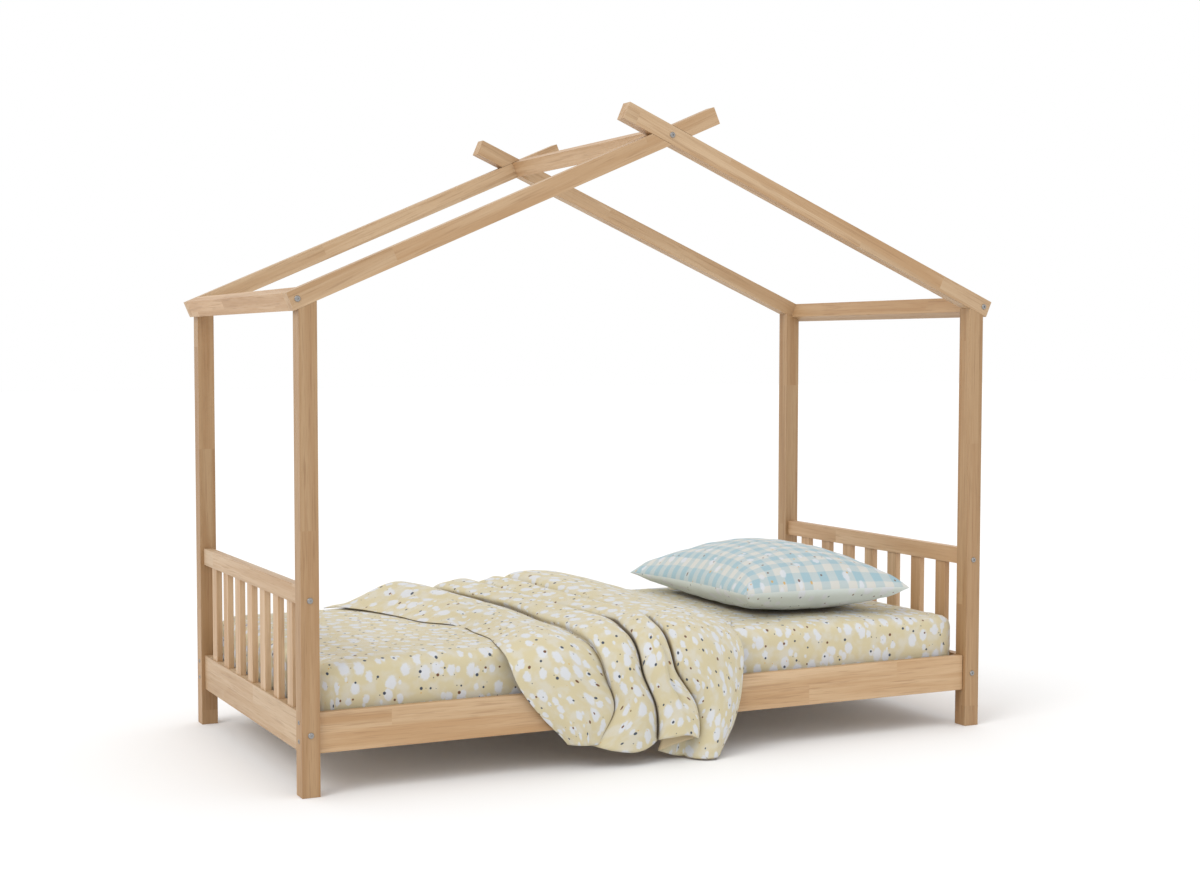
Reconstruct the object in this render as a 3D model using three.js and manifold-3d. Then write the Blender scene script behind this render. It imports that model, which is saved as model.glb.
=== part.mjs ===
// House-shaped single bed: timber frame with slatted ends and a pitched roof outline, slatted base,
// mattress, pillow and a loose blanket that falls over the front side rail.
// Millimetres, +Z up. +X runs to the head end, -Y is the front. The floor is Z = 0.

import * as THREE from 'three';
import { mergeVertices } from 'three/addons/utils/BufferGeometryUtils.js';
import { RoundedBoxGeometry } from 'three/addons/geometries/RoundedBoxGeometry.js';
import Module from 'manifold-3d';

const wasm = await Module();
wasm.setup();

// ---- driving dimensions ----
const bedLength = 1980; // over the posts, along X
const bedWidth = 985; // over the posts, along Y
const postSize = 45; // square section
const gap = 0.3; // clearance between touching pieces
const over = 5; // how far a cutter runs past the face it cuts

const roofAngle = Math.atan(0.43); // slope of the rafters
const crossingHeight = 1604; // rafter centrelines cross here
const rafterThick = 38; // along Y
const beamDepth = 45; // rafters and beams, square to the slope
const beamThick = 38; // ridge and eave beams, along the slope
const rafterTail = 142; // from the crossing to the upper end
const rafterRun = 1099; // from the crossing to the eave end
const lapGap = 0.7; // clearance on each side of the halved joint

const railBottom = 101; // underside of all the lower rails
const sideRailHeight = 98;
const sideRailThick = 22;
const endRailThick = 25;
const lowerEndRailHeight = 95;
const topRailBottom = 454;
const topRailHeight = 45;

const endSlatCount = 7;
const endSlatWidth = 45;
const endSlatThick = 16;
const mortiseDepth = 12;

const ledgerSize = 25; // square batten under the base slats
const ledgerInset = 20; // shorter than the rail at each end
const baseSlatCount = 10;
const baseSlatWidth = 68;
const baseSlatThick = 18;
const baseSlatTop = 149.5;
const baseSlatReach = 905; // centre of the outermost base slats

const mattressLength = 1890;
const mattressWidth = 896;
const mattressBottom = 150;
const mattressTop = 305;
const mattressEdge = 28; // radius of the rounded edges

const pillowLength = 740; // across the bed
const pillowWidth = 495; // along the bed
const pillowHeight = 170;
const pillowCentreX = 590;

const blanketLoft = 70; // folded thickness on the mattress
const blanketReach = 32; // stands this far in front of the post faces
const blanketHem = 25; // lowest point of the fall above the floor

const boltRadius = 3;
const boltHole = boltRadius + gap;
const boltHeadRadius = 7.5;
const boltHeadHeight = 2.6;
const boltSocketRadius = 2.9; // across the corners of the hexagon
const boltSocketDepth = 1.8;
const boltBite = 38; // how far a bolt runs into the end grain behind the post or rafter
const topRailBoltHeight = 469;

// ---- dimensions worked out from them ----
const halfLength = bedLength / 2;
const halfWidth = bedWidth / 2;
const postCentreX = halfLength - postSize / 2;
const postCentreY = halfWidth - postSize / 2;
const clearLength = bedLength - 2 * postSize;
const clearWidth = bedWidth - 2 * postSize;
const rafterCentreY = halfWidth - rafterThick / 2;
const beamLength = bedWidth - 2 * rafterThick - 2 * gap;
const eaveAlong = rafterRun - beamThick / 2; // crossing to eave beam centre, along the slope
const lowerEndRailTop = railBottom + lowerEndRailHeight;
const lowerRailBoltHeight = railBottom + lowerEndRailHeight / 2;
const blanketBottom = mattressTop + gap;
const blanketTop = blanketBottom + blanketLoft;
const ends = { foot: -1, head: 1 };
const sides = { front: -1, back: 1 };

// ---- finishes ----
const wood = () => new THREE.MeshStandardMaterial({ color: '#c8a67c', roughness: 0.6, metalness: 0 });
const steel = () => new THREE.MeshStandardMaterial({ color: '#8f8f8c', roughness: 0.4, metalness: 1 });
const sheet = () => new THREE.MeshStandardMaterial({ color: '#e6d7ac', roughness: 0.95, metalness: 0 });
const gingham = () => new THREE.MeshStandardMaterial({ color: '#bcdce2', roughness: 0.95, metalness: 0 });

// The middle of the whole box, from the blanket's front to the rear bolt heads, is over the origin.
const bed = new THREE.Group();
bed.position.y = (blanketReach - boltHeadHeight) / 2;

function add(name, geometry, material, [x, y, z], turn = 0) {
  const mesh = new THREE.Mesh(geometry, material);
  mesh.name = name;
  mesh.position.set(x, y, z);
  mesh.rotation.y = turn;
  bed.add(mesh);
}

// ---- solids ----
function toSolid(geometry) {
  const bare = geometry.index ? geometry.toNonIndexed() : geometry.clone();
  bare.deleteAttribute('normal');
  bare.deleteAttribute('uv');
  const merged = mergeVertices(bare, 1e-4);
  return new wasm.Manifold(new wasm.Mesh({
    numProp: 3,
    vertProperties: new Float32Array(merged.attributes.position.array),
    triVerts: new Uint32Array(merged.index.array),
  }));
}

function toGeometry(solid) {
  const mesh = solid.getMesh();
  const geometry = new THREE.BufferGeometry();
  geometry.setAttribute('position', new THREE.BufferAttribute(mesh.vertProperties, 3));
  geometry.setIndex(new THREE.BufferAttribute(mesh.triVerts, 1));
  geometry.computeVertexNormals();
  return geometry;
}

function cut(geometry, cutters) {
  const left = cutters.reduce((solid, cutter) => solid.subtract(toSolid(cutter)), toSolid(geometry));
  return toGeometry(left);
}

function block(sizeX, sizeY, sizeZ, [x, y, z] = [0, 0, 0]) {
  return new THREE.BoxGeometry(sizeX, sizeY, sizeZ).translate(x, y, z);
}

// A round drilling along Y, from one height in Y to the other.
function drillY(x, z, fromY, toY) {
  const hole = new THREE.CylinderGeometry(boltHole, boltHole, toY - fromY, 20);
  return hole.translate(x, (fromY + toY) / 2, z);
}

// An outline drawn in X and Z, given thickness along Y between two planes.
function uprightPlate(points, fromY, toY) {
  const shape = new THREE.Shape(points.map(([x, z]) => new THREE.Vector2(x, z)));
  const plate = new THREE.ExtrudeGeometry(shape, { depth: toY - fromY, bevelEnabled: false });
  return plate.rotateX(Math.PI / 2).translate(0, toY, 0);
}

// An outline drawn in X and Y, given thickness between two heights.
function levelPlate(points, fromZ, toZ) {
  const shape = new THREE.Shape(points.map(([x, y]) => new THREE.Vector2(x, y)));
  const plate = new THREE.ExtrudeGeometry(shape, { depth: toZ - fromZ, bevelEnabled: false });
  return plate.translate(0, 0, fromZ);
}

// ---- posts ----
// Underside of the rafters at a distance from the middle of the bed.
function rafterUnderside(x) {
  return crossingHeight - beamDepth / 2 / Math.cos(roofAngle) - x * Math.tan(roofAngle);
}

function postGeometry(end) {
  const inner = end * (halfLength - postSize);
  const outer = end * halfLength;
  const corners = [
    [inner, 0],
    [outer, 0],
    [outer, rafterUnderside(halfLength) - gap],
    [inner, rafterUnderside(halfLength - postSize) - gap],
  ];
  const post = uprightPlate(end > 0 ? corners : corners.reverse(), -postSize / 2, postSize / 2);
  const holes = [lowerRailBoltHeight, topRailBoltHeight].map((z) => (
    drillY(end * postCentreX, z, -postSize, postSize)
  ));
  return cut(post, holes);
}

function addPosts() {
  for (const [endName, end] of Object.entries(ends)) {
    for (const [sideName, side] of Object.entries(sides)) {
      add(`post_${endName}_${sideName}`, postGeometry(end), wood(), [0, side * postCentreY, 0]);
    }
  }
}

// ---- slatted ends ----
const endSlatPitch = (clearWidth + endSlatWidth) / (endSlatCount + 1);
const endSlatPlaces = Array.from({ length: endSlatCount }, (_, i) => (
  (i - (endSlatCount - 1) / 2) * endSlatPitch
));

// A rail with a row of mortises in its top or bottom edge and a bolt hole in each end.
function endRailGeometry(height, mortiseEdge, boltOffset) {
  const length = clearWidth - 2 * gap;
  const mortises = endSlatPlaces.map((y) => block(
    endSlatThick + 2 * gap,
    endSlatWidth + 2 * gap,
    2 * mortiseDepth,
    [0, y, (mortiseEdge * height) / 2],
  ));
  const holes = Object.values(sides).map((side) => {
    const outer = side * (length / 2 + over);
    const inner = side * (length / 2 - boltBite - over);
    return drillY(0, boltOffset, Math.min(outer, inner), Math.max(outer, inner));
  });
  return cut(block(endRailThick, length, height), [...mortises, ...holes]);
}

function addEnds() {
  const lowerCentre = railBottom + lowerEndRailHeight / 2;
  const topCentre = topRailBottom + topRailHeight / 2;
  const slatHeight = topRailBottom - lowerEndRailTop + 2 * mortiseDepth - 2 * gap;
  const slatCentre = (topRailBottom + lowerEndRailTop) / 2;
  for (const [endName, end] of Object.entries(ends)) {
    const x = end * postCentreX;
    const lower = endRailGeometry(lowerEndRailHeight, 1, lowerRailBoltHeight - lowerCentre);
    const top = endRailGeometry(topRailHeight, -1, topRailBoltHeight - topCentre);
    add(`${endName}_lower_rail`, lower, wood(), [x, 0, lowerCentre]);
    add(`${endName}_top_rail`, top, wood(), [x, 0, topCentre]);
    endSlatPlaces.forEach((y, i) => {
      const slat = block(endSlatThick, endSlatWidth, slatHeight);
      add(`${endName}_slat_${i + 1}`, slat, wood(), [x, y, slatCentre]);
    });
  }
}

// ---- side rails, ledgers and base slats ----
function addBase() {
  const railLength = clearLength - 2 * gap;
  const railInner = postCentreY - sideRailThick / 2;
  const ledgerTop = baseSlatTop - baseSlatThick - gap;
  for (const [sideName, side] of Object.entries(sides)) {
    const rail = block(railLength, sideRailThick, sideRailHeight);
    const railCentre = railBottom + sideRailHeight / 2;
    add(`side_rail_${sideName}`, rail, wood(), [0, side * postCentreY, railCentre]);
    const ledger = block(railLength - 2 * ledgerInset, ledgerSize, ledgerSize);
    const ledgerY = side * (railInner - gap - ledgerSize / 2);
    add(`ledger_${sideName}`, ledger, wood(), [0, ledgerY, ledgerTop - ledgerSize / 2]);
  }
  const slatLength = 2 * (railInner - 2);
  const slatPitch = (2 * baseSlatReach) / (baseSlatCount - 1);
  for (let i = 0; i < baseSlatCount; i += 1) {
    const slat = block(baseSlatWidth, slatLength, baseSlatThick);
    const place = [i * slatPitch - baseSlatReach, 0, baseSlatTop - baseSlatThick / 2];
    add(`base_slat_${i + 1}`, slat, wood(), place);
  }
}

// ---- roof ----
// A rafter in its own frame: the crossing is at the origin and the eave lies along end * X.
// The head-end rafters keep their outer half where they cross, the foot-end ones their inner half.
function rafterGeometry(end, side) {
  const length = rafterTail + rafterRun;
  const bar = block(length, rafterThick, beamDepth, [(end * (rafterRun - rafterTail)) / 2, 0, 0]);
  const removed = -end * side;
  const lapThick = rafterThick / 2 + over + gap / 2;
  const lap = block(4 * beamDepth, lapThick, beamDepth + 2 * lapGap);
  lap.translate(0, (removed * (rafterThick / 2 + over - gap / 2)) / 2, 0);
  lap.rotateY(-2 * roofAngle * end);
  const holes = [0, end * eaveAlong].map((x) => drillY(x, 0, -rafterThick, rafterThick));
  return cut(bar, [lap, ...holes]);
}

function beamGeometry() {
  const holes = Object.values(sides).map((side) => {
    const outer = side * (beamLength / 2 + over);
    const inner = side * (beamLength / 2 - boltBite - over);
    return drillY(0, 0, Math.min(outer, inner), Math.max(outer, inner));
  });
  return cut(block(beamThick, beamLength, beamDepth), holes);
}

// A point on a rafter's centreline, at a distance from the crossing.
function onSlope(end, along) {
  const x = end * along * Math.cos(roofAngle);
  return [x, crossingHeight - along * Math.sin(roofAngle)];
}

function addRoof() {
  for (const [endName, end] of Object.entries(ends)) {
    for (const [sideName, side] of Object.entries(sides)) {
      const place = [0, side * rafterCentreY, crossingHeight];
      add(`rafter_${endName}_${sideName}`, rafterGeometry(end, side), wood(), place, end * roofAngle);
    }
    const [x, z] = onSlope(end, eaveAlong);
    add(`eave_beam_${endName}`, beamGeometry(), wood(), [x, 0, z], end * roofAngle);
  }
  add('ridge_beam', beamGeometry(), wood(), [0, 0, crossingHeight], -roofAngle);
}

// ---- bolts ----
// A pan-head connector bolt with a hexagon socket. Its head faces side * Y and rests on Y = 0.
function boltGeometry(side, shankLength) {
  const profile = [
    [0, boltHeadHeight],
    [boltHeadRadius - 1.2, boltHeadHeight],
    [boltHeadRadius - 0.3, boltHeadHeight * 0.6],
    [boltHeadRadius, gap],
    [boltRadius, gap],
    [boltRadius, -shankLength],
    [0, -shankLength],
  ];
  const lathe = new THREE.LatheGeometry(profile.map(([r, y]) => new THREE.Vector2(r, y)).reverse(), 24);
  const socket = new THREE.CylinderGeometry(boltSocketRadius, boltSocketRadius, 2 * boltSocketDepth, 6);
  const bolt = cut(lathe, [socket.translate(0, boltHeadHeight, 0)]);
  return side > 0 ? bolt : bolt.rotateX(Math.PI);
}

function addBolts() {
  for (const [sideName, side] of Object.entries(sides)) {
    const faceY = side * halfWidth;
    for (const [endName, end] of Object.entries(ends)) {
      const postBolt = () => boltGeometry(side, postSize + boltBite);
      const x = end * postCentreX;
      add(`bolt_lower_${endName}_${sideName}`, postBolt(), steel(), [x, faceY, lowerRailBoltHeight]);
      add(`bolt_upper_${endName}_${sideName}`, postBolt(), steel(), [x, faceY, topRailBoltHeight]);
      const [eaveX, eaveZ] = onSlope(end, eaveAlong);
      const eaveBolt = boltGeometry(side, rafterThick + boltBite);
      add(`bolt_eave_${endName}_${sideName}`, eaveBolt, steel(), [eaveX, faceY, eaveZ]);
    }
    const ridgeBolt = boltGeometry(side, rafterThick + boltBite);
    add(`bolt_ridge_${sideName}`, ridgeBolt, steel(), [0, faceY, crossingHeight]);
  }
}

// ---- bedding ----
function addMattress() {
  const height = mattressTop - mattressBottom;
  const body = new RoundedBoxGeometry(mattressLength, mattressWidth, height, 3, mattressEdge);
  add('mattress', body, sheet(), [0, 0, mattressBottom + height / 2]);
}

// A crowned cushion: a ball whose plan is squared off and whose underside lies flat.
function pillowGeometry() {
  const ball = new THREE.SphereGeometry(1, 28, 14).rotateX(Math.PI / 2);
  const place = ball.attributes.position;
  const squareness = 3.2; // power of the rounded-square plan
  const flat = -0.62; // share of the half height at which the underside is level
  for (let i = 0; i < place.count; i += 1) {
    const x = place.getX(i);
    const y = place.getY(i);
    const reach = Math.hypot(x, y);
    const round = (Math.abs(x) ** squareness + Math.abs(y) ** squareness) ** (1 / squareness);
    const spread = round > 1e-6 ? reach ** 0.6 / round : 0;
    place.setXYZ(i, x * spread, y * spread, Math.max(place.getZ(i), flat));
  }
  ball.translate(0, 0, -flat);
  return ball.scale(pillowWidth / 2, pillowLength / 2, pillowHeight / (1 - flat));
}

function addPillow() {
  const rest = mattressTop + gap;
  add('pillow', toGeometry(toSolid(pillowGeometry())), gingham(), [pillowCentreX, 0, rest]);
}

// The blanket lies on the mattress from the back edge and falls over the front side rail.
function addBlanket() {
  const frontY = -halfWidth - blanketReach;
  const railFront = -postCentreY - sideRailThick / 2;
  const lying = levelPlate([
    [-470, frontY],
    [225, frontY],
    [308, -299],
    [330, 60],
    [300, 200],
    [240, 440],
    [-612, 440],
    [-520, 170],
    [-430, -60],
    [-425, -235],
  ], blanketBottom, blanketTop);
  const fall = uprightPlate([
    [-340, 103],
    [-273, 53],
    [-134, blanketHem],
    [130, blanketHem],
    [171, 63],
    [201, 140],
    [216, 227],
    [225, blanketTop - 1],
    [-470, blanketTop - 1],
    [-431, 224],
  ], frontY, railFront - 4 * gap);
  const cloth = toSolid(lying).add(toSolid(fall));
  add('blanket', toGeometry(cloth), sheet(), [0, 0, 0]);
}

addPosts();
addEnds();
addBase();
addRoof();
addBolts();
addMattress();
addPillow();
addBlanket();

export default bed;
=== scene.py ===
"""Looks of a single house-shaped bed: timber frame, fitted sheet, pillow and a draped blanket.

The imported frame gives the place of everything. Lengths are in metres, x along the bed, y across it, z up.
"""
import math

import bmesh
import bpy
import numpy as np
from mathutils import Matrix, Vector, noise


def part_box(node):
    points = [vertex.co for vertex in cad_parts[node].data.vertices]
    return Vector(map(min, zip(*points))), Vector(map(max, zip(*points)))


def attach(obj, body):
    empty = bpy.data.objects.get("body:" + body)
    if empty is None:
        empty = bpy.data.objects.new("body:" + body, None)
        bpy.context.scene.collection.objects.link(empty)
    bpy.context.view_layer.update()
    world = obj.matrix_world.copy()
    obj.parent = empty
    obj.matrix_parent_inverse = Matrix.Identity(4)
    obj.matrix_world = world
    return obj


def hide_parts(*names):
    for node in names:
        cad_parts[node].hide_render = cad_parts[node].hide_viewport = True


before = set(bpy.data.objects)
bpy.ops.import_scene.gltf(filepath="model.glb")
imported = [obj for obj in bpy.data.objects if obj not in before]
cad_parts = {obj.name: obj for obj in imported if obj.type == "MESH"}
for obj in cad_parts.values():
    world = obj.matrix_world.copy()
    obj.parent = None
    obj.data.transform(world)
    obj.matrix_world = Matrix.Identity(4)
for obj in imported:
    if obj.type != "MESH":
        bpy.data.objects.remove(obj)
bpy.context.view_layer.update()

MM = 0.001

# --- frame finish ---
EDGE_ROUND = 3.2 * MM
WOOD_LIGHT = (0.590, 0.402, 0.238, 1)
WOOD_DARK = (0.450, 0.262, 0.125, 1)
WOOD_PORE = (0.280, 0.140, 0.058, 1)
# How each kind of timber's colour differs from the average board: partly its own tone, partly painted light,
# lighter or darker by how light falls on the faces seen most, and bluer where a painted sheen stands for the
# sunlit faces' reflection.
WOOD_TONES_AND_PAINTED_LIGHT = {
    "post": (0.745, 0.705, 0.630),
    "eave_beam_head": (0.82, 0.79, 0.73),
    "rafter": (0.95, 0.98, 1.00),
    "foot_lower_rail": (0.95, 1.03, 1.13),
    "foot_top_rail": (0.93, 1.00, 1.10),
    "side_rail": (1.03, 1.06, 1.07),
    "foot_slat": (0.98, 1.02, 1.08),
}
LAMELLA_LENGTH = 0.74
LAMELLA_WIDTH = 0.052
STEEL_COLOUR = (0.36, 0.35, 0.34, 1)

# --- side rail screws, seen on the outer end faces of the posts ---
SCREW_RADIUS = 5.5 * MM
SCREW_HEAD = 1.6 * MM
SCREW_SOCKET = 2.2 * MM
SCREW_RISE = (0.32, 0.78)

# --- bedding ---
COTTON_YELLOW = (0.640, 0.565, 0.365, 1)
COTTON_WHITE = (0.68, 0.70, 0.74, 1)
COTTON_BACK = (0.62, 0.50, 0.31, 1)
DOT_SLATE = (0.060, 0.075, 0.105, 1)
DOT_BROWN = (0.165, 0.075, 0.040, 1)
DOT_OCHRE = (0.640, 0.380, 0.080, 1)
GINGHAM_BLUE = (0.345, 0.500, 0.560, 1)
GINGHAM_PALE = (0.640, 0.635, 0.590, 1)
PILLOW_BACK = (0.635, 0.690, 0.660, 1)
# painted shade: the colour the cloth is multiplied by in its creases
PAINTED_CREASE_SHADE = (0.34, 0.25, 0.13, 1)

MATTRESS_STEP = 14 * MM                  # size of the core's quads
MATTRESS_PUFF = 6 * MM                   # how much smaller it starts than its box
MATTRESS_CORNER = 42 * MM
MATTRESS_EDGE = 24 * MM
MATTRESS_CROWN = 9 * MM
MATTRESS_TICKING = (0.78, 0.76, 0.72, 1)
SHEET_GAP = 1.0 * MM
SHEET_THICK = 0.8 * MM
SHEET_TUCK = 0.11

PILLOW_STEP = 8.5 * MM                   # size of the case's quads
PILLOW_FLAT = (0.560, 0.822)
PILLOW_PLAN = (0.526, 0.783)
PILLOW_START = 20 * MM                   # how much higher than its plain solid it starts
PILLOW_RISE = 17 * MM                    # how much higher than its plain solid
PILLOW_SINK = 16 * MM                    # how deep the underside is pressed in
PILLOW_SOFT = 10 * MM
PILLOW_SHIFT = -8 * MM
PILLOW_LEAN = 0.045                      # rise towards the front, as a slope
PILLOW_CROWN = 1.44                     # height over the seam, as a share of the depth under it
PILLOW_TURN = math.radians(-4)

BLANKET_THICK = 3.0 * MM
HEM_WIDTH = 14 * MM
THREAD = 0.0002
CHECK = 0.0285

# --- picture ---
SUN_STRENGTH = 0.75
SUN_SPREAD = math.radians(28)
SUN_WAY = (1.0, 0.42, -0.95)
CAMERA_PLACE = (-2.2576, -4.5661, 1.0636)
CAMERA_DOWN = 3.293                      # degrees below level
CAMERA_RIGHT = 25.391                    # degrees to the right of +y
CAMERA_LENS = 54.53
CAMERA_SHIFT = (0.0334, 0.0119)


# ---------------------------------------------------------------- node helpers

class Paint:
    """A material's node tree, with a short call for each kind of node used here."""

    def __init__(self, name, roughness=0.6):
        self.material = bpy.data.materials.new(name)
        self.material.use_nodes = True
        self.tree = self.material.node_tree
        self.shader = self.tree.nodes["Principled BSDF"]
        self.shader.inputs["Roughness"].default_value = roughness

    def node(self, kind, inputs=None, **settings):
        made = self.tree.nodes.new("ShaderNode" + kind)
        for key, value in settings.items():
            setattr(made, key, value)
        for key, value in (inputs or {}).items():
            self.feed(made.inputs[key], value)
        return made

    def feed(self, socket, value):
        if isinstance(value, bpy.types.NodeSocket):
            self.tree.links.new(value, socket)
        else:
            socket.default_value = value

    def math(self, operation, a, b=0.0, clamp=False):
        return self.node("Math", {0: a, 1: b}, operation=operation, use_clamp=clamp).outputs[0]

    def vector(self, operation, a, b=(0, 0, 0)):
        return self.node("VectorMath", {0: a, 1: b}, operation=operation).outputs[0]

    def mix(self, factor, a, b, blend="MIX"):
        made = self.node("Mix", {0: factor, 6: a, 7: b}, data_type="RGBA", blend_type=blend)
        return made.outputs[2]

    def band(self, value, low, high, out_low=0.0, out_high=1.0):
        """Smoothly from out_low to out_high as value goes from low to high."""
        inputs = {0: value, 1: low, 2: high, 3: out_low, 4: out_high}
        return self.node("MapRange", inputs, interpolation_type="SMOOTHSTEP").outputs[0]

    def noise(self, vector, scale, detail=3.0, roughness=0.5, distortion=0.0, dimensions="3D"):
        inputs = {"Vector": vector, "Scale": scale, "Detail": detail,
                  "Roughness": roughness, "Distortion": distortion}
        return self.node("TexNoise", inputs, noise_dimensions=dimensions).outputs[0]

    def grain(self, place, along, across, *settings):
        """Noise drawn out along x, from its scales along and across and the noise's own settings."""
        return self.noise(self.vector("MULTIPLY", place, (along, across, across)), 1.0, *settings)

    def cells(self, vector, scale, randomness=1.0):
        inputs = {"Vector": vector, "Scale": scale, "Randomness": randomness}
        return self.node("TexVoronoi", inputs, voronoi_dimensions="2D", feature="F1")

    def channels(self, colour):
        return self.node("SeparateColor", {0: colour}).outputs

    def colour(self, value):
        self.feed(self.shader.inputs["Base Color"], value)

    def bump(self, height, depth, strength=1.0, normal=None):
        inputs = {"Height": height, "Distance": depth, "Strength": strength}
        if normal is not None:
            inputs["Normal"] = normal
        made = self.node("Bump", inputs).outputs[0]
        self.feed(self.shader.inputs["Normal"], made)
        return made


# ---------------------------------------------------------------- wood and steel

def wood_boards(paint, turn, seed):
    """Each point's place in its own board, with the length along x, and the board's random number."""
    place = paint.node("TexCoord").outputs["Object"]
    along = paint.node("Mapping", {"Vector": place, "Rotation": turn}).outputs[0]
    x, y, z = paint.node("SeparateXYZ", {0: along}).outputs
    strip = paint.math("FLOOR", paint.math("DIVIDE", paint.math("ADD", y, z), LAMELLA_WIDTH))
    shift = paint.math("MULTIPLY", paint.math("ADD", strip, seed * 0.377), 0.613)
    block = paint.math("FLOOR", paint.math("ADD", paint.math("DIVIDE", x, LAMELLA_LENGTH), shift))
    key = paint.node("CombineXYZ", {0: block, 1: strip, 2: float(seed)}).outputs[0]
    random = paint.node("TexWhiteNoise", {"Vector": key}, noise_dimensions="3D")
    apart = paint.vector("SCALE", random.outputs["Color"])
    paint.feed(apart.node.inputs["Scale"], 3.0)
    return paint.vector("ADD", along, apart), random.outputs["Value"]


def wood(name, turn, seed, tint):
    """Oiled light hardwood, finger-jointed. turn brings the timber's length onto the x axis. tint scales its
    colours: partly the timber's own tone, partly painted light and painted sheen.
    """
    light, dark, pore = [tuple(a * b for a, b in zip(colour, tint + (1,)))
                         for colour in (WOOD_LIGHT, WOOD_DARK, WOOD_PORE)]
    paint = Paint(name, 0.5)
    own, random = wood_boards(paint, turn, seed)
    streaks = paint.grain(own, 0.8, 26.0, 4.0, 0.55, 0.6)
    rings = paint.grain(own, 2.6, 85.0, 3.0, 0.6, 1.2)
    flecks = paint.grain(own, 7.0, 230.0, 2.0, 0.5, 0.4)
    pores = paint.grain(own, 14.0, 620.0, 2.0, 0.6)
    lines = paint.band(rings, 0.50, 0.66)
    base = paint.mix(paint.band(streaks, 0.30, 0.72), light, dark)
    base = paint.mix(paint.math("MULTIPLY", lines, 0.40), base, dark)
    base = paint.mix(paint.band(flecks, 0.55, 0.70, 0.0, 0.36), base, pore)
    base = paint.mix(paint.band(pores, 0.56, 0.74, 0.0, 0.32), base, pore)
    shade = paint.band(random, 0.0, 1.0, 0.965, 1.04)
    board = paint.node("CombineColor", {0: shade, 1: shade, 2: shade}).outputs[0]
    paint.colour(paint.mix(1.0, base, board, "MULTIPLY"))
    paint.feed(paint.shader.inputs["Roughness"], paint.band(pores, 0.3, 0.8, 0.46, 0.62))
    paint.bump(paint.math("ADD", pores, paint.math("MULTIPLY", lines, 0.6)), 0.0002, 0.2)
    return paint.material


def steel(name="bolt_steel"):
    paint = Paint(name, 0.38)
    paint.shader.inputs["Metallic"].default_value = 0.9
    place = paint.node("TexCoord").outputs["Object"]
    cloud = paint.noise(place, 900.0, 2.0)
    tone = paint.band(cloud, 0.3, 0.7, 0.82, 1.0)
    tint = paint.node("CombineColor", {0: tone, 1: tone, 2: tone}).outputs[0]
    paint.colour(paint.mix(1.0, STEEL_COLOUR, tint, "MULTIPLY"))
    paint.bump(cloud, 0.0001, 0.3)
    return paint.material


def grain_turn(name):
    """The rotation that brings a timber's length onto the x axis, from its name and its own box."""
    low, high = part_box(name)
    size = high - low
    if name.startswith("rafter"):
        lean = math.atan2(size.z, size.x)
        return (0, lean if "foot" in name else -lean, 0)
    longest = max(range(3), key=lambda axis: size[axis])
    return ((0, 0, 0), (0, 0, math.pi / 2), (0, math.pi / 2, 0))[longest]


def ease_edges(piece, width):
    """Rounds the long edges of a timber, without touching its mesh."""
    weld = piece.modifiers.new("weld", "WELD")
    weld.merge_threshold = 0.00005
    flat = piece.modifiers.new("flat", "DECIMATE")
    flat.decimate_type = "DISSOLVE"
    flat.angle_limit = math.radians(1)
    bevel = piece.modifiers.new("ease", "BEVEL")
    bevel.width = width
    bevel.segments = 3
    bevel.limit_method = "ANGLE"
    bevel.angle_limit = math.radians(25)


def dress(piece, material):
    piece.data.materials.clear()
    piece.data.materials.append(material)


def finish_frame():
    metal = steel()
    others = ("bolt", "mattress", "pillow", "blanket")
    timbers = [name for name in sorted(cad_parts) if not name.startswith(others)]
    for seed, name in enumerate(timbers):
        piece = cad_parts[name]
        # the tint is partly the timber's own tone and partly painted light and painted sheen
        tint = next((tint for kind, tint in WOOD_TONES_AND_PAINTED_LIGHT.items() if name.startswith(kind)), (1.0, 1.0, 1.0))
        dress(piece, wood("wood_" + name, grain_turn(name), seed, tint))
        ease_edges(piece, EDGE_ROUND if "slat" not in name else EDGE_ROUND * 0.45)
    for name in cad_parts:
        if name.startswith("bolt"):
            dress(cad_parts[name], metal)
    return metal


def make_piece(name, points, faces, material, smooth=True):
    mesh = bpy.data.meshes.new(name)
    mesh.from_pydata([tuple(p) for p in points], [], faces)
    mesh.materials.append(material)
    mesh.polygons.foreach_set("use_smooth", [smooth] * len(mesh.polygons))
    mesh.update()
    piece = bpy.data.objects.new(name, mesh)
    bpy.context.scene.collection.objects.link(piece)
    return piece


def hexagon(angle):
    """How far a hexagon's side is from its middle at an angle, as a share of its corner's distance."""
    sixth = math.pi / 6
    return math.cos(sixth) / math.cos(angle % (2 * sixth) - sixth)


def screw_head(name, centre, outward, metal):
    """A low domed head with a hexagon socket, its axis along x."""
    profile = [(0, -0.0012), (SCREW_SOCKET, -0.0012), (SCREW_SOCKET, SCREW_HEAD * 0.95),
               (SCREW_RADIUS * 0.75, SCREW_HEAD), (SCREW_RADIUS * 0.95, SCREW_HEAD * 0.6),
               (SCREW_RADIUS, 0), (SCREW_RADIUS, -0.0014), (0, -0.0014)]
    sides = 24
    points, faces = [], []
    for radius, height in profile:
        for k in range(sides):
            angle = 2 * math.pi * k / sides
            reach = radius * hexagon(angle) if radius == SCREW_SOCKET else radius
            points.append((centre[0] + outward * height, centre[1] + reach * math.cos(angle),
                           centre[2] + reach * math.sin(angle)))
    for ring in range(len(profile) - 1):
        for k in range(sides):
            a, b = ring * sides + k, ring * sides + (k + 1) % sides
            faces.append((a, b, b + sides, a + sides))
    piece = make_piece(name, points, faces, metal, smooth=False)
    tidy(piece)
    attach(piece, "frame")


def tidy(piece):
    """Merges doubled points and turns all faces outwards."""
    work = bmesh.new()
    work.from_mesh(piece.data)
    bmesh.ops.remove_doubles(work, verts=work.verts, dist=1e-6)
    bmesh.ops.recalc_face_normals(work, faces=work.faces)
    work.to_mesh(piece.data)
    work.free()


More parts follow.
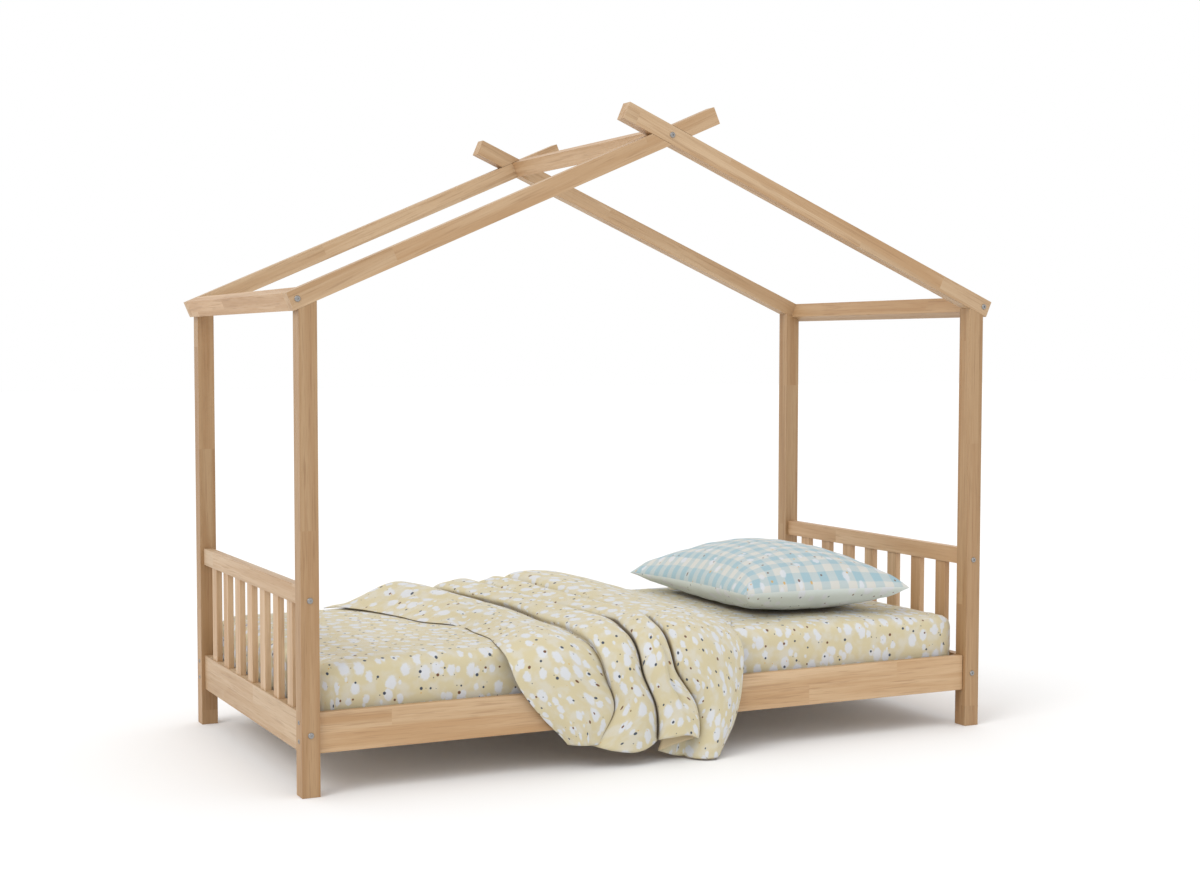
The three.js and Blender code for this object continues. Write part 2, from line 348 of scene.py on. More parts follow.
def add_rail_screws(metal):
    for end in ("foot", "head"):
        outward = -1 if end == "foot" else 1
        for side in ("front", "back"):
            low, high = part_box(f"post_{end}_{side}")
            rail_low, rail_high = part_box(f"side_rail_{side}")
            face = low.x if outward < 0 else high.x
            across = (rail_low.y + rail_high.y) / 2
            for level, share in zip(("lower", "upper"), SCREW_RISE):
                up = rail_low.z + share * (rail_high.z - rail_low.z)
                screw_head(f"rail_screw_{end}_{side}_{level}", (face, across, up), outward, metal)


# ---------------------------------------------------------------- printed cotton

def blobs(paint, flat, size, spread, seed, ragged=0.22):
    """A mask of scattered soft-edged blobs, about size across and spread apart."""
    wobble = paint.noise(flat, 2.2 / size, 2.0)
    moved = paint.vector("ADD", flat, (seed * 3.7, seed * 1.9, 0))
    stretched = paint.vector("MULTIPLY", moved, (1.15, 0.85, 1.0))
    cells = paint.cells(stretched, 1 / spread, 0.86)
    random = paint.channels(cells.outputs["Color"])
    reach = paint.band(random[0], 0.0, 1.0, 0.55 * size, size)
    uneven = paint.math("MULTIPLY", paint.math("SUBTRACT", wobble, 0.5), ragged * size * 3)
    edge = paint.math("ADD", paint.math("MULTIPLY", cells.outputs["Distance"], spread), uneven)
    inside = paint.math("DIVIDE", edge, paint.math("MAXIMUM", reach, 0.0005))
    return paint.band(inside, 0.70, 1.14, 1.0, 0.0)


def speckles(paint, flat, size, spread, seed, share):
    """A mask of small round dots in a share of the cells, and the cells' random colour."""
    moved = paint.vector("ADD", flat, (seed * 5.3, seed * 2.3, 0))
    cells = paint.cells(moved, 1 / spread, 1.0)
    random = paint.channels(cells.outputs["Color"])
    distance = paint.math("MULTIPLY", cells.outputs["Distance"], spread)
    reach = paint.band(random[0], 0.0, 1.0, 0.6 * size, size)
    inside = paint.band(paint.math("DIVIDE", distance, reach), 0.8, 1.1, 1.0, 0.0)
    chosen = paint.math("LESS_THAN", random[1], share)
    return paint.math("MULTIPLY", inside, chosen), random


def weave(paint, flat):
    """A plain weave of fine threads, with the soft crumple of washed cotton."""
    threads = paint.vector("MULTIPLY", flat, (1 / THREAD, 1 / THREAD, 1.0))
    x, y, _ = paint.node("SeparateXYZ", {0: threads}).outputs
    warp = paint.math("SINE", x)
    weft = paint.math("SINE", y)
    cross = paint.math("MULTIPLY", paint.math("ADD", warp, weft), 0.25)
    crumple = paint.noise(flat, 38.0, 3.0, 0.55, 0.8)
    total = paint.math("ADD", cross, paint.math("MULTIPLY", crumple, 3.5))
    paint.bump(total, 0.0006, 0.55)
    paint.shader.inputs["Sheen Weight"].default_value = 0.25
    paint.shader.inputs["Sheen Roughness"].default_value = 0.5
    paint.shader.inputs["Specular IOR Level"].default_value = 0.25
    return crumple


def white_over(paint, colour, mask, strength):
    return paint.mix(paint.math("MULTIPLY", mask, strength), colour, COTTON_WHITE)


def dots_over(paint, colour, dots, strength, inks, split):
    """Adds speckles in two inks, the second one where a dot's random number is over split."""
    mask, random = dots
    ink = paint.mix(paint.math("GREATER_THAN", random[2], split), *inks)
    return paint.mix(paint.math("MULTIPLY", mask, strength), colour, ink)


def scatter_print(paint, flat, ground):
    """White rounded blobs with small dark dots, scattered over a plain ground."""
    cloud = paint.band(paint.noise(flat, 26.0, 2.0), 0.42, 0.66, 0.0, 0.34)
    colour = paint.mix(cloud, ground, COTTON_WHITE)
    colour = white_over(paint, colour, blobs(paint, flat, 0.0170, 0.048, 1), 0.93)
    colour = white_over(paint, colour, blobs(paint, flat, 0.0085, 0.052, 4), 0.85)
    large = speckles(paint, flat, 0.0044, 0.048, 2, 0.75)
    colour = dots_over(paint, colour, large, 1.0, (DOT_SLATE, DOT_BROWN), 0.62)
    tiny = speckles(paint, flat, 0.0019, 0.034, 3, 0.5)
    return dots_over(paint, colour, tiny, 0.8, (DOT_SLATE, DOT_OCHRE), 0.7)


def shade_creases(paint, colour):
    """Paints shade into the cloth's colour: darker and warmer where two folds nearly touch."""
    hollow = paint.node("AmbientOcclusion", {"Distance": 0.022}, samples=8)
    depth = paint.band(hollow.outputs["AO"], 0.12, 0.62, 1.0, 0.0)
    painted_shade_colour = paint.mix(1.0, colour, PAINTED_CREASE_SHADE, "MULTIPLY")
    return paint.mix(depth, colour, painted_shade_colour)


def printed_cotton(name, ground=COTTON_YELLOW):
    paint = Paint(name, 0.86)
    flat = paint.node("UVMap", uv_map="flat").outputs[0]
    weave(paint, flat)
    # the print, with painted shade darkening its creases
    paint.colour(shade_creases(paint, scatter_print(paint, flat, ground)))
    return paint.material


def plain_cotton(name, colour):
    paint = Paint(name, 0.88)
    flat = paint.node("UVMap", uv_map="flat").outputs[0]
    crumple = weave(paint, flat)
    shade = paint.mix(paint.band(crumple, 0.3, 0.7, 0.0, 0.12), colour, (0.2, 0.15, 0.1, 1))
    paint.colour(shade)
    return paint.material


def gingham_cotton(name):
    """Blue and cream gingham with a few small coloured dots."""
    paint = Paint(name, 0.85)
    flat = paint.node("UVMap", uv_map="flat").outputs[0]
    weave(paint, flat)
    x, y, _ = paint.node("SeparateXYZ", {0: flat}).outputs
    bars = [paint.band(paint.math("SINE", paint.math("MULTIPLY", side, math.pi / CHECK)), -0.14, 0.14)
            for side in (x, y)]
    depth = paint.math("MULTIPLY", paint.math("ADD", bars[0], bars[1]), 0.5)
    colour = paint.mix(depth, GINGHAM_PALE, GINGHAM_BLUE)
    colour = white_over(paint, colour, blobs(paint, flat, 0.013, 0.075, 6), 0.8)
    dots = speckles(paint, flat, 0.0042, 0.047, 7, 0.55)
    paint.colour(dots_over(paint, colour, dots, 0.85, (DOT_BROWN, DOT_OCHRE), 0.5))
    return paint.material


def pillow_back_cotton(name):
    """Pale green cotton with white blobs and small dots, under the gingham."""
    paint = Paint(name, 0.85)
    flat = paint.node("UVMap", uv_map="flat").outputs[0]
    weave(paint, flat)
    colour = white_over(paint, PILLOW_BACK, blobs(paint, flat, 0.017, 0.058, 5), 0.8)
    dots = speckles(paint, flat, 0.0036, 0.036, 8, 0.6)
    paint.colour(dots_over(paint, colour, dots, 0.8, (DOT_BROWN, DOT_SLATE), 0.5))
    return paint.material


def set_flat(piece, flat):
    """Stores each point's place on the flat cloth, in metres, as the UV map that the prints read."""
    layer = piece.data.uv_layers.new(name="flat")
    corners = np.zeros(len(piece.data.loops), dtype=np.int32)
    piece.data.loops.foreach_get("vertex_index", corners)
    layer.data.foreach_set("uv", np.asarray(flat, dtype=np.float32)[corners].ravel())


def points_of(mesh, attribute="co"):
    """Each vertex's place, or its normal, as one row."""
    flat = np.zeros(len(mesh.vertices) * 3)
    mesh.vertices.foreach_get(attribute, flat)
    return flat.reshape(-1, 3)


def set_points(piece, points):
    piece.data.vertices.foreach_set("co", np.asarray(points, dtype=np.float64).ravel())
    piece.data.update()


def smooth(value):
    value = np.clip(value, 0, 1)
    return value * value * (3 - 2 * value)


def ramp(value, start, length):
    """Smoothly from 0 at start to 1 a length further on."""
    return smooth((value - start) / length)


def noise_at(points, scale, seed):
    return np.array([noise.noise(Vector(p) * scale + Vector((seed, seed * 0.7, seed * 1.3))) for p in points])


# ---------------------------------------------------------------- cloth simulation

def simulate(piece, frames, pressure, cap, stiffness, bending):
    """Swells a closed cloth under inner pressure, keeps the result, and caps how far a point has moved."""
    before = points_of(piece.data)
    cloth = piece.modifiers.new("cloth", "CLOTH")
    settings = cloth.settings
    settings.quality = 6
    settings.mass = 0.3
    settings.tension_stiffness = stiffness
    settings.compression_stiffness = stiffness
    settings.shear_stiffness = stiffness / 3
    settings.bending_stiffness = bending
    settings.use_pressure = True
    settings.uniform_pressure_force = pressure
    settings.effector_weights.gravity = 0
    cloth.collision_settings.use_collision = False
    cloth.point_cache.frame_start = 1
    cloth.point_cache.frame_end = frames
    scene = bpy.context.scene
    for step in range(1, frames + 1):
        scene.frame_set(step)
    bpy.context.view_layer.update()
    graph = bpy.context.evaluated_depsgraph_get()
    shaped = piece.evaluated_get(graph).to_mesh()
    after = points_of(shaped)
    piece.evaluated_get(graph).to_mesh_clear()
    piece.modifiers.remove(cloth)
    scene.frame_set(1)
    move = after - before
    far = np.linalg.norm(move, axis=1, keepdims=True)
    set_points(piece, before + move * np.minimum(1, cap / np.maximum(far, 1e-9)))


# ---------------------------------------------------------------- mattress and fitted sheet

def box_grid(half, step):
    """Points and quads of a box's surface, in steps of about step."""
    counts = [max(2, int(round(2 * h / step))) for h in half]
    points, faces, index = [], [], {}

    def place(cell):
        if cell not in index:
            index[cell] = len(points)
            points.append([half[a] * (2 * cell[a] / counts[a] - 1) for a in range(3)])
        return index[cell]

    for axis in range(3):
        one, two = (axis + 1) % 3, (axis + 2) % 3
        for end in (0, counts[axis]):
            for i in range(counts[one]):
                for j in range(counts[two]):
                    ring = []
                    for di, dj in ((0, 0), (1, 0), (1, 1), (0, 1)):
                        cell = [0, 0, 0]
                        cell[axis], cell[one], cell[two] = end, i + di, j + dj
                        ring.append(place(tuple(cell)))
                    faces.append(ring if end else ring[::-1])
    return np.array(points), faces


def round_off(points, half, corner, edge):
    """Pulls a box grid onto a box with upright corners of radius corner and level edges of radius edge."""
    moved = points.copy()
    inner = half[:2] - corner
    core = np.clip(moved[:, :2], -inner, inner)
    out = moved[:, :2] - core
    reach = np.linalg.norm(out, axis=1)
    square = np.max(np.abs(out), axis=1)
    scale = np.where(reach > 1e-9, square / np.maximum(reach, 1e-9), 1)
    moved[:, :2] = core + out * scale[:, None]
    depth = corner - np.linalg.norm(moved[:, :2] - core, axis=1)
    rise = half[2] - np.abs(moved[:, 2])
    near = (depth < edge) & (rise < edge)
    a, b = edge - depth[near], edge - rise[near]
    pull = np.maximum(a, b) / np.maximum(np.hypot(a, b), 1e-9)
    outward = out[near] / np.maximum(reach[near, None], 1e-9)
    moved[near, :2] -= outward * (a - a * pull)[:, None]
    moved[near, 2] -= np.sign(moved[near, 2]) * (b - b * pull)
    return moved


def mattress_flat(points, low, high):
    """Each point's place on the flat sheet: the side drops are folded out along their outward direction."""
    centre = (low + high) / 2
    inner = np.array([high.x - low.x, high.y - low.y]) / 2 - 0.06
    offset = points[:, :2] - np.array(centre[:2])
    core = np.clip(offset, -inner, inner)
    out = offset - core
    outward = out / np.maximum(np.linalg.norm(out, axis=1, keepdims=True), 1e-6)
    drop = np.clip(high.z - 0.012 - points[:, 2], 0, None)
    return points[:, :2] + outward * drop[:, None]


def crown(points, low, high):
    """How much higher the soft mattress stands towards its middle, at each point's x and y."""
    middle, half = (low + high) / 2, (high - low) / 2
    x = np.clip(np.abs(points[..., 0] - middle.x) / half.x, 0, 1)
    y = np.clip(np.abs(points[..., 1] - middle.y) / half.y, 0, 1)
    return MATTRESS_CROWN * (1 - x ** 4) * (1 - y ** 16)


def add_mattress():
    low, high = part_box("mattress")
    half = np.array((high - low) / 2)
    centre = np.array((high + low) / 2)
    half_small = half - MATTRESS_PUFF * np.array([1.0, 0.8, 0.5])
    points, faces = box_grid(half_small, MATTRESS_STEP)
    shaped = round_off(points, half_small, MATTRESS_CORNER, MATTRESS_EDGE) + centre
    ticking = plain_cotton("mattress_ticking", MATTRESS_TICKING)
    core = make_piece("mattress_core", shaped, faces, ticking)
    simulate(core, frames=20, pressure=3.0, cap=9 * MM, stiffness=12.0, bending=2.0)
    shaped = points_of(core.data)
    reach = (shaped.max(axis=0) - shaped.min(axis=0)) / 2
    shaped[:, :2] = centre[:2] + (shaped[:, :2] - centre[:2]) * ((half[:2] - SHEET_GAP) / reach[:2])
    shaped[:, 2] = np.clip(shaped[:, 2], low.z + 3 * MM, high.z - 0.5 * MM)
    upper = smooth((shaped[:, 2] - centre[2]) / half[2])
    shaped[:, 2] += crown(shaped, low, high) * upper
    set_points(core, shaped)
    set_flat(core, mattress_flat(shaped, low, high))
    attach(core, "mattress")
    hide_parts("mattress")
    add_fitted_sheet(core, faces, low, high)


def add_fitted_sheet(core, faces, low, high):
    """The sheet's skin over the mattress, with its gathered hem tucked under the rim."""
    points, normals = points_of(core.data), points_of(core.data, "normal")
    rim = np.minimum.reduce([points[:, 0] - low.x, high.x - points[:, 0],
                             points[:, 1] - low.y, high.y - points[:, 1]])
    kept = ~((points[:, 2] < low.z + 0.012) & (rim > SHEET_TUCK))
    skin = points + normals * SHEET_GAP
    gather = smooth((low.z + 0.05 - points[:, 2]) / 0.05)
    ripple = np.sin((points[:, 0] + points[:, 1]) * 190 + 2.2 * noise_at(points, 9.0, 3))
    skin -= normals * (gather * (0.5 + 0.5 * ripple) * 0.6 * MM)[:, None]
    skin[:, 2] = np.maximum(skin[:, 2], low.z + 1.2 * MM)
    skin = skin + normals * (sheet_wrinkles(points, low, high))[:, None]
    used = [f for f in faces if all(kept[i] for i in f)]
    order = sorted({i for f in used for i in f})
    index = {old: new for new, old in enumerate(order)}
    cloth = printed_cotton("sheet_print")
    sheet = make_piece("fitted_sheet", skin[order], [[index[i] for i in f] for f in used], cloth)
    set_flat(sheet, mattress_flat(points[order], low, high))
    solid = sheet.modifiers.new("thickness", "SOLIDIFY")
    solid.thickness = SHEET_THICK
    solid.offset = -1
    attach(sheet, "mattress")


def sheet_wrinkles(points, low, high):
    """Shallow pull lines that run in from the four corners, and a slight unevenness everywhere."""
    height = 0.9 * MM * noise_at(points * np.array([1.0, 2.6, 1.0]), 5.0, 11)
    for x in (low.x, high.x):
        for y in (low.y, high.y):
            away = points[:, :2] - np.array([x, y])
            reach = np.linalg.norm(away, axis=1)
            angle = np.arctan2(np.abs(away[:, 1]), np.abs(away[:, 0]) + 1e-6)
            fade = np.exp(-((reach - 0.10) / 0.12) ** 2) * (points[:, 2] > low.z + 0.06)
            height += 1.4 * MM * fade * np.sin(angle * 22 + 6 * reach)
    return height


# ---------------------------------------------------------------- pillow

def pillow_grid(width, length, step):
    """Two layers of small quads joined round their edge, and their places on the flat cloth.

    z only tells them apart: 1 in the upper layer, -1 in the lower one, 0 on the seam.
    """
    across, along = int(round(width / step)), int(round(length / step))
    points, flat, faces = [], [], []
    index = {}
    for layer in (1, -1):
        for i in range(across + 1):
            for j in range(along + 1):
                rim = i in (0, across) or j in (0, along)
                key = (0 if rim else layer, i, j)
                if key in index:
                    continue
                index[key] = len(points)
                u, v = i / across - 0.5, j / along - 0.5
                points.append((u * width, v * length, 0 if rim else layer))
                flat.append((u * width, v * length))
    for layer in (1, -1):
        for i in range(across):
            for j in range(along):
                ring = []
                for a, b in ((i, j), (i + 1, j), (i + 1, j + 1), (i, j + 1)):
                    rim = a in (0, across) or b in (0, along)
                    ring.append(index[(0 if rim else layer, a, b)])
                faces.append(ring if layer > 0 else ring[::-1])
    return np.array(points), np.array(flat), faces, len(faces) // 2


def puff_by_hand(points, width, length, height):
    """The plain swell the simulation starts from."""
    u, v = 2 * points[:, 0] / width, 2 * points[:, 1] / length
    swell = np.clip((1 - u ** 2) * (1 - v ** 2), 0, 1) ** 0.55
    moved = points.copy()
    moved[:, 2] = np.sign(points[:, 2]) * swell * height / 2
    moved[:, 0] *= 1 - 0.10 * (1 - v ** 2)
    moved[:, 1] *= 1 - 0.07 * (1 - u ** 2)
    return moved


def add_pillow():
    low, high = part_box("pillow")
    width, length = PILLOW_FLAT
    points, flat, faces, top_count = pillow_grid(width, length, PILLOW_STEP)
    puffed = puff_by_hand(points, width, length, high.z - low.z + PILLOW_START)
    piece = make_piece("pillow_case", puffed, faces, gingham_cotton("pillow_gingham_cloth"))
    piece.data.materials.append(pillow_back_cotton("pillow_back_cloth"))
    for face in piece.data.polygons[top_count:]:
        face.material_index = 1
    simulate(piece, frames=16, pressure=4.0, cap=12 * MM, stiffness=6.0, bending=0.4)
    settle_pillow(piece, low, high)
    set_flat(piece, flat)
    refine = piece.modifiers.new("smooth", "SUBSURF")
    refine.levels = refine.render_levels = 1
    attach(piece, "pillow")
    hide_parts("pillow")


def settle_pillow(piece, low, high):
    """Turns the pillow into place and presses its underside flat onto the mattress."""
    shaped = points_of(piece.data)
    turn = Matrix.Rotation(PILLOW_TURN, 3, "Z")
    plan = shaped[:, :2].max(axis=0) - shaped[:, :2].min(axis=0)
    shaped[:, :2] *= np.array(PILLOW_PLAN) / plan
    shaped = shaped @ np.array(turn).T
    shaped[:, 2] = np.where(shaped[:, 2] > 0, shaped[:, 2] * PILLOW_CROWN, shaped[:, 2])
    depth = -shaped[:, 2].min()
    shaped[:, 2] -= shaped[:, 1] * PILLOW_LEAN * np.clip(1 + shaped[:, 2] / depth, 0, 1)
    creases = noise_at(shaped * np.array([1.0, 1.6, 1.0]), 11.0, 3) * 4.4 + noise_at(shaped, 26.0, 8) * 2.2
    shaped[:, 2] += creases * MM * np.sign(shaped[:, 2]) * smooth(np.abs(shaped[:, 2]) / 0.03)
    total = shaped[:, 2].max() - shaped[:, 2].min()
    want = high.z - low.z + PILLOW_RISE
    shaped[:, 2] -= shaped[:, 2].min()
    shaped[:, 2] *= (want + PILLOW_SINK) / total
    lifted = shaped[:, 2] - PILLOW_SINK
    shaped[:, 2] = PILLOW_SOFT * np.log1p(np.exp(lifted / PILLOW_SOFT))
    centre = (low + high) / 2
    shaped[:, 0] += centre.x + PILLOW_SHIFT
    shaped[:, 1] += centre.y
    shaped[:, 2] += low.z - shaped[:, 2].min() + 0.3 * MM + crown(shaped, *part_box("mattress"))
    set_points(piece, shaped)


# ---------------------------------------------------------------- blanket
# The blanket lies across the mattress and falls over its front edge. Its folds run from its rear hem to its
# lower hem. A station is a distance along the blanket from the rear hem. A fold line gives x at each station.

STATIONS = np.array([0, 100, 200, 300, 400, 500, 640, 740, 860, 974, 1074, 1140, 1200]) * MM
FOLD_LINES = np.array([
    [-634, -580, -534, -505, -486, -424, -427, -429, -455, -442, -370, -306, -262],     # left hem
    [-330, -310, -280, -250, -225, -219, -222, -214, -225, -195, -174, -218, -256],
    [-200, -165, -155, -145, -122, -102, -72, -60, -92, -90, -50, -43, -50],
    [-140, -85, -50, -28, -8, 8, 24, 34, 0, -2, 52, 62, 48],
    [318, 330, 333, 333, 333, 330, 318, 290, 225, 215, 204, 184, 150],                  # right hem
]) * MM
RIDGES = np.array([
    [46, 44, 41, 37, 33, 29, 26, 24, 26, 28, 30, 26, 18],
    [38, 39, 39, 39, 39, 38, 36, 36, 40, 44, 46, 42, 36],
    [40, 41, 41, 41, 41, 40, 40, 41, 46, 52, 58, 56, 50],
    [58, 55, 50, 45, 39, 34, 31, 31, 34, 40, 47, 54, 59],
]) * MM
BUNCH = np.array([32, 29, 25, 20, 15, 11, 8, 6, 4, 1, 0, 0, 0]) * MM          # how high the valleys lie
HEM_LIFT = np.array([5, 4, 2, 0, 0, 0, 0, 0, 0, 0, 0, 0, 0]) * MM             # how high the left hem lies
FOLD_COUNTS = (48, 34, 26, 16, 62)
RETURN = 3                                                                       # the pleat's hidden return
HEM_PLACES = np.array([0, 0.5, 0.97, 1.3, 1.7, 2.0, 2.5, 3.0, 4.0, 4.35, 4.65, 4.85, 5.0])
HEM_HEIGHTS = np.array([66, 64, 58, 44, 38, 56, 72, 56, 26, 6, 4, 16, 64]) * MM  # lower hem over the floor
UNDERCUT = 19 * MM
# Small creases pressed into the folds: stations, x there, depth and half width.
CREASES = (
    ((320, 400, 480, 560), (-262, -330, -393, -432), 9, 18),
    ((880, 914, 946, 1004, 1053, 1090), (-70, -50, -36, -28, 0, 14), 14, 6),
    ((560, 640, 720, 830), (170, 175, 180, 184), 9, 7),
    ((120, 220, 330, 420), (-520, -440, -368, -330), 11, 16),
    ((40, 150, 260, 380), (-420, -350, -318, -300), 9, 15),
    ((590, 640, 700, 750), (200, 212, 228, 246), 9, 7),
)
CREASE_FADE = 40 * MM                    # how fast a crease begins and ends
BLANKET_ROWS = 190
BEND_RADIUS = 60 * MM
REAR_GAP = 12 * MM                       # rear hem to the mattress's rear edge
FRONT_GAP = 50 * MM                      # mattress's front edge to the hanging cloth's support
TOP_GAP = 3 * MM
REAR_FLATNESS = (0.22, 90 * MM)          # share of the folds' height at the rear hem, and where it is full
HANGING = (0.92, 0.16)                   # station where the cloth starts to hang, and how soon it does
PLEAT_START = (1.0, 0.14)                # the same for the pleat
PLEAT_DEPTH = 92 * MM


def curve_at(stations, values, distance):
    """Smoothly between the stations' values, with no overshoot to speak of."""
    slopes = np.gradient(values, stations)
    k = np.clip(np.searchsorted(stations, distance) - 1, 0, len(stations) - 2)
    span = stations[k + 1] - stations[k]
    u = np.clip((distance - stations[k]) / span, 0, 1)
    a = (1 + 2 * u) * (1 - u) ** 2 * values[k] + u * (1 - u) ** 2 * span * slopes[k]
    b = u * u * (3 - 2 * u) * values[k + 1] + u * u * (u - 1) * span * slopes[k + 1]
    return a + b


def fall_path(distance, rear, front, top):
    """The blanket's support at a distance from the rear hem: over the top, round the bend and down."""
    run = rear - (front + BEND_RADIUS)
    arc = BEND_RADIUS * math.pi / 2
    angle = np.clip((distance - run) / BEND_RADIUS, 0, math.pi / 2)
    y = rear - np.minimum(distance, run) - BEND_RADIUS * np.sin(angle)
    z = top - BEND_RADIUS * (1 - np.cos(angle)) - np.maximum(distance - run - arc, 0)
    return y, z, -np.sin(angle), np.cos(angle)


def fold_columns():
    """(fold, place in it from 0 to 1) for each column of the blanket's grid, closer together in valleys."""
    columns = []
    for fold, count in enumerate(FOLD_COUNTS):
        steps = np.arange(count) / count
        columns += [(fold, (1 - math.cos(math.pi * s)) / 2 * 0.6 + s * 0.4) for s in steps]
    return columns + [(len(FOLD_COUNTS) - 1, 1.0)]


def blanket_grid(low, high):
    """The blanket's surface as rows of points from the rear hem to the lower hem."""
    columns = fold_columns()
    least, fade = REAR_FLATNESS
    rear, front, top = high.y - REAR_GAP, low.y - FRONT_GAP, high.z + TOP_GAP
    run = rear - (front + BEND_RADIUS)
    full = run + BEND_RADIUS * math.pi / 2 + top - BEND_RADIUS
    grid = np.zeros((BLANKET_ROWS + 1, len(columns), 3))
    for j, (fold, u) in enumerate(columns):
        end = full - curve_at(HEM_PLACES, HEM_HEIGHTS, np.array([fold + u]))[0]
        distance = np.linspace(0, 1, BLANKET_ROWS + 1) * end
        x, lift = fold_section(fold, u, distance)
        lift = lift * (least + (1 - least) * smooth(distance / fade)) - crease_depth(x, distance)
        y, z, out_y, out_z = fall_path(distance, rear, front, top)
        grid[:, j] = np.stack([x, y + out_y * lift, z + out_z * lift], axis=1)
    grid[..., 2] += crown(grid, low, high)
    return grid


def fold_section(fold, u, distance):
    """x and height over the support, at place u in one fold."""
    lines = [curve_at(STATIONS, line, distance) for line in FOLD_LINES]
    ridges = [curve_at(STATIONS, ridge, distance) for ridge in RIDGES]
    bunch = curve_at(STATIONS, BUNCH, distance)
    hanging = ramp(distance, *HANGING)
    behind = PLEAT_DEPTH * ramp(distance, *PLEAT_START)
    overlap = 0.45 * ridges[2] * (0.2 + 0.8 * hanging)
    if fold == RETURN:
        return lines[3] - behind * u, bunch + (1 - u) * overlap + 9 * MM * u * hanging
    if fold > RETURN:
        return last_fold(u, lines, ridges[3], bunch, behind, hanging)
    x = lines[fold] * (1 - u) + lines[fold + 1] * u
    lift = ridges[fold] * sine_ridge(u, 0.95 if fold == 0 else 0.5, 0.8 - 0.3 * hanging)
    if fold == 0:
        rest = curve_at(STATIONS, HEM_LIFT, distance)
        return x + UNDERCUT * hanging * side_bulge(1 - u), lift + rest + (bunch - rest) * smooth(u * 1.6)
    lift = lift + bunch
    x = x - UNDERCUT * side_bulge(u) * (1 - hanging if fold == 1 else 1)
    if fold == RETURN - 1:
        lift = lift + overlap * smooth((u - 0.6) / 0.4)
    return x, lift


def last_fold(u, lines, ridge, bunch, behind, hanging):
    """The broad fold at the right. Low down, its left part lies flat behind the pleat."""
    hidden = 0.9 * behind / (lines[4] - lines[3] + behind)
    x = (lines[3] - behind) * (1 - u) + lines[4] * u
    x = x - UNDERCUT * side_bulge(u) * (1 - hanging)
    shown = np.clip((u - hidden) / (1 - hidden), 0, 1)
    lift = ridge * sine_ridge(shown ** (0.5 + 0.35 * hanging), 0.5, 0.95)
    return x, lift + bunch * (1 - smooth(u)) + 3 * MM * hanging


def side_bulge(u):
    """How far a fold's side leans out over its neighbour, from its foot at 0 to its shoulder."""
    return math.sin(math.pi * min(u / 0.3, 1.0))


def crease_depth(x, distance):
    """How deep the small creases press in, at these places."""
    depth = np.zeros_like(distance)
    for stations, places, deep, wide in CREASES:
        start, end = stations[0] * MM, stations[-1] * MM
        line = np.interp(distance, np.array(stations) * MM, np.array(places) * MM)
        ends = ramp(distance, start, CREASE_FADE) * ramp(end - distance, 0, CREASE_FADE)
        depth += deep * MM * ends * np.exp(-((x - line) / (wide * MM)) ** 2)
    return depth


def sine_ridge(u, power_left, power_right):
    """A rounded ridge over 0 to 1. A low power makes that side steep, as where two folds press together."""
    power = power_left + (power_right - power_left) * u
    return np.maximum(np.sin(np.pi * u), 0.0) ** power


def relax(grid, rounds, share=0.5):
    """Evens a grid out by moving each inner point towards its neighbours' middle."""
    for _ in range(rounds):
        middle = (grid[:-2, 1:-1] + grid[2:, 1:-1] + grid[1:-1, :-2] + grid[1:-1, 2:]) / 4
        grid[1:-1, 1:-1] += share * (middle - grid[1:-1, 1:-1])
    return grid


def flat_places(grid):
    """Each point's place on the flat cloth, from the mean lengths of the rows and the columns."""
    across = np.linalg.norm(np.diff(grid, axis=1), axis=2)
    along = np.linalg.norm(np.diff(grid, axis=0), axis=2)
    u = np.concatenate([[0], np.cumsum(across.mean(axis=0))])
    v = np.concatenate([np.zeros((1, grid.shape[1])), np.cumsum(along, axis=0)])
    flat = np.zeros(grid.shape[:2] + (2,))
    flat[..., 0] = u[None, :]
    flat[..., 1] = v
    return flat


def grid_faces(rows, columns):
    return [(i * columns + j, (i + 1) * columns + j, (i + 1) * columns + j + 1, i * columns + j + 1)
            for i in range(rows - 1) for j in range(columns - 1)]


def add_blanket():
    low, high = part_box("mattress")
    grid = relax(blanket_grid(low, high), 2)
    rows, columns = grid.shape[:2]
    flat = flat_places(grid)
    points = add_small_creases(grid.reshape(-1, 3), high.z)
    cloth = printed_cotton("blanket_print_cloth")
    piece = make_piece("blanket_cloth", points, grid_faces(rows, columns), cloth)
    piece.data.materials.append(plain_cotton("blanket_back_cloth", COTTON_BACK))
    set_flat(piece, flat.reshape(-1, 2))
    thicken(piece, flat)
    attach(piece, "blanket")
    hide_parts("blanket")


def thicken(piece, flat):
    """Gives the cloth its thickness, and its turned hem twice as much."""
    u, v = flat[..., 0], flat[..., 1]
    edge = np.minimum.reduce([u, u.max() - u, v, v.max(axis=0)[None, :] - v])
    group = piece.vertex_groups.new(name="cloth")
    for index, distance in enumerate(edge.ravel()):
        group.add([index], 1.0 if distance < HEM_WIDTH else 0.5, "REPLACE")
    solid = piece.modifiers.new("thickness", "SOLIDIFY")
    solid.thickness = BLANKET_THICK
    solid.offset = 0
    solid.material_offset = 1
    solid.vertex_group = "cloth"


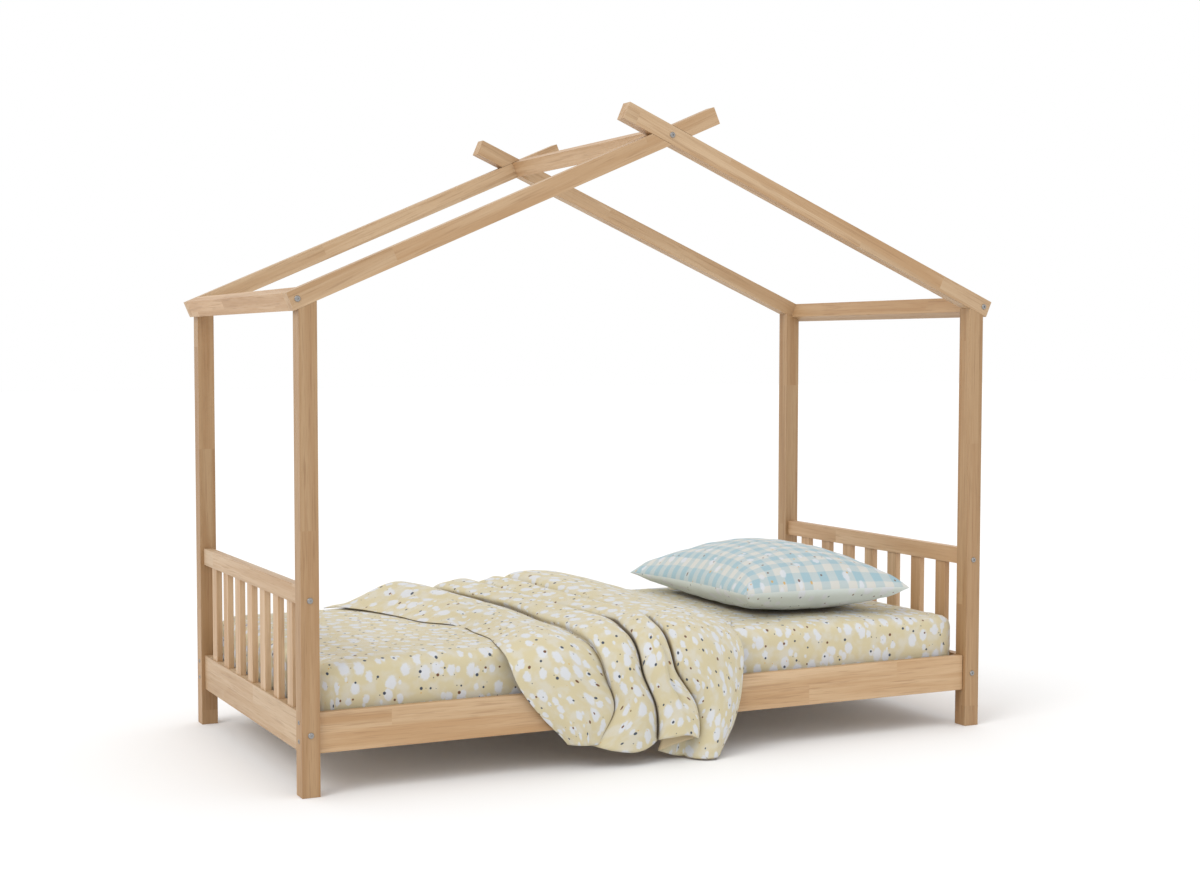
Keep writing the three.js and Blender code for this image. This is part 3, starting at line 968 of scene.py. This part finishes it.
def add_small_creases(points, top):
    """Small soft creases, mostly along the folds."""
    stretched = points * np.array([1.0, 0.35, 0.35])
    shift = 1.3 * MM * noise_at(stretched, 24.0, 5) + 0.5 * MM * noise_at(points, 60.0, 9)
    moved = points.copy()
    on_top = smooth((points[:, 2] - top + 0.03) / 0.03)
    moved[:, 2] += shift * on_top
    moved[:, 1] -= shift * (1 - on_top)
    moved[:, 2] = np.maximum(moved[:, 2], 4 * MM)
    return moved


# ---------------------------------------------------------------- scene

def add_stage():
    size = 40
    floor = make_piece("floor", [(-size, -size, 0), (size, -size, 0), (size, size, 0), (-size, size, 0)],
                       [(0, 1, 2, 3)], floor_paint(), smooth=False)
    floor.location.z = -0.0005


def floor_paint():
    paint = Paint("floor_paint", 0.9)
    paint.shader.inputs["Specular IOR Level"].default_value = 0.0
    place = paint.node("TexCoord").outputs["Object"]
    tone = paint.band(paint.noise(place, 0.4, 1.0), 0.3, 0.7, 0.93, 0.95)
    paint.colour(paint.node("CombineColor", {0: tone, 1: tone, 2: tone}).outputs[0])
    return paint.material


def add_world(strength):
    world = bpy.data.worlds.new("studio")
    world.use_nodes = True
    background = world.node_tree.nodes["Background"]
    background.inputs["Color"].default_value = (1, 1, 1, 1)
    background.inputs["Strength"].default_value = strength
    bpy.context.scene.world = world


def add_lights():
    add_world(1.0)
    sun = bpy.data.lights.new("window", "SUN")
    sun.energy = SUN_STRENGTH
    sun.angle = SUN_SPREAD
    lamp = bpy.data.objects.new("window", sun)
    lamp.rotation_euler = Vector(SUN_WAY).to_track_quat("-Z", "Y").to_euler()
    bpy.context.scene.collection.objects.link(lamp)


def add_camera():
    data = bpy.data.cameras.new("camera")
    data.sensor_width = 36
    data.lens = CAMERA_LENS
    data.shift_x, data.shift_y = CAMERA_SHIFT
    camera = bpy.data.objects.new("camera", data)
    camera.location = CAMERA_PLACE
    camera.rotation_euler = (math.radians(90 - CAMERA_DOWN), 0, math.radians(-CAMERA_RIGHT))
    bpy.context.scene.collection.objects.link(camera)
    bpy.context.scene.camera = camera


# ---------------------------------------------------------------- build

bpy.context.scene.view_settings.view_transform = "Standard"
add_camera()
add_stage()
add_lights()
metal = finish_frame()
add_rail_screws(metal)
add_mattress()
add_pillow()
add_blanket()
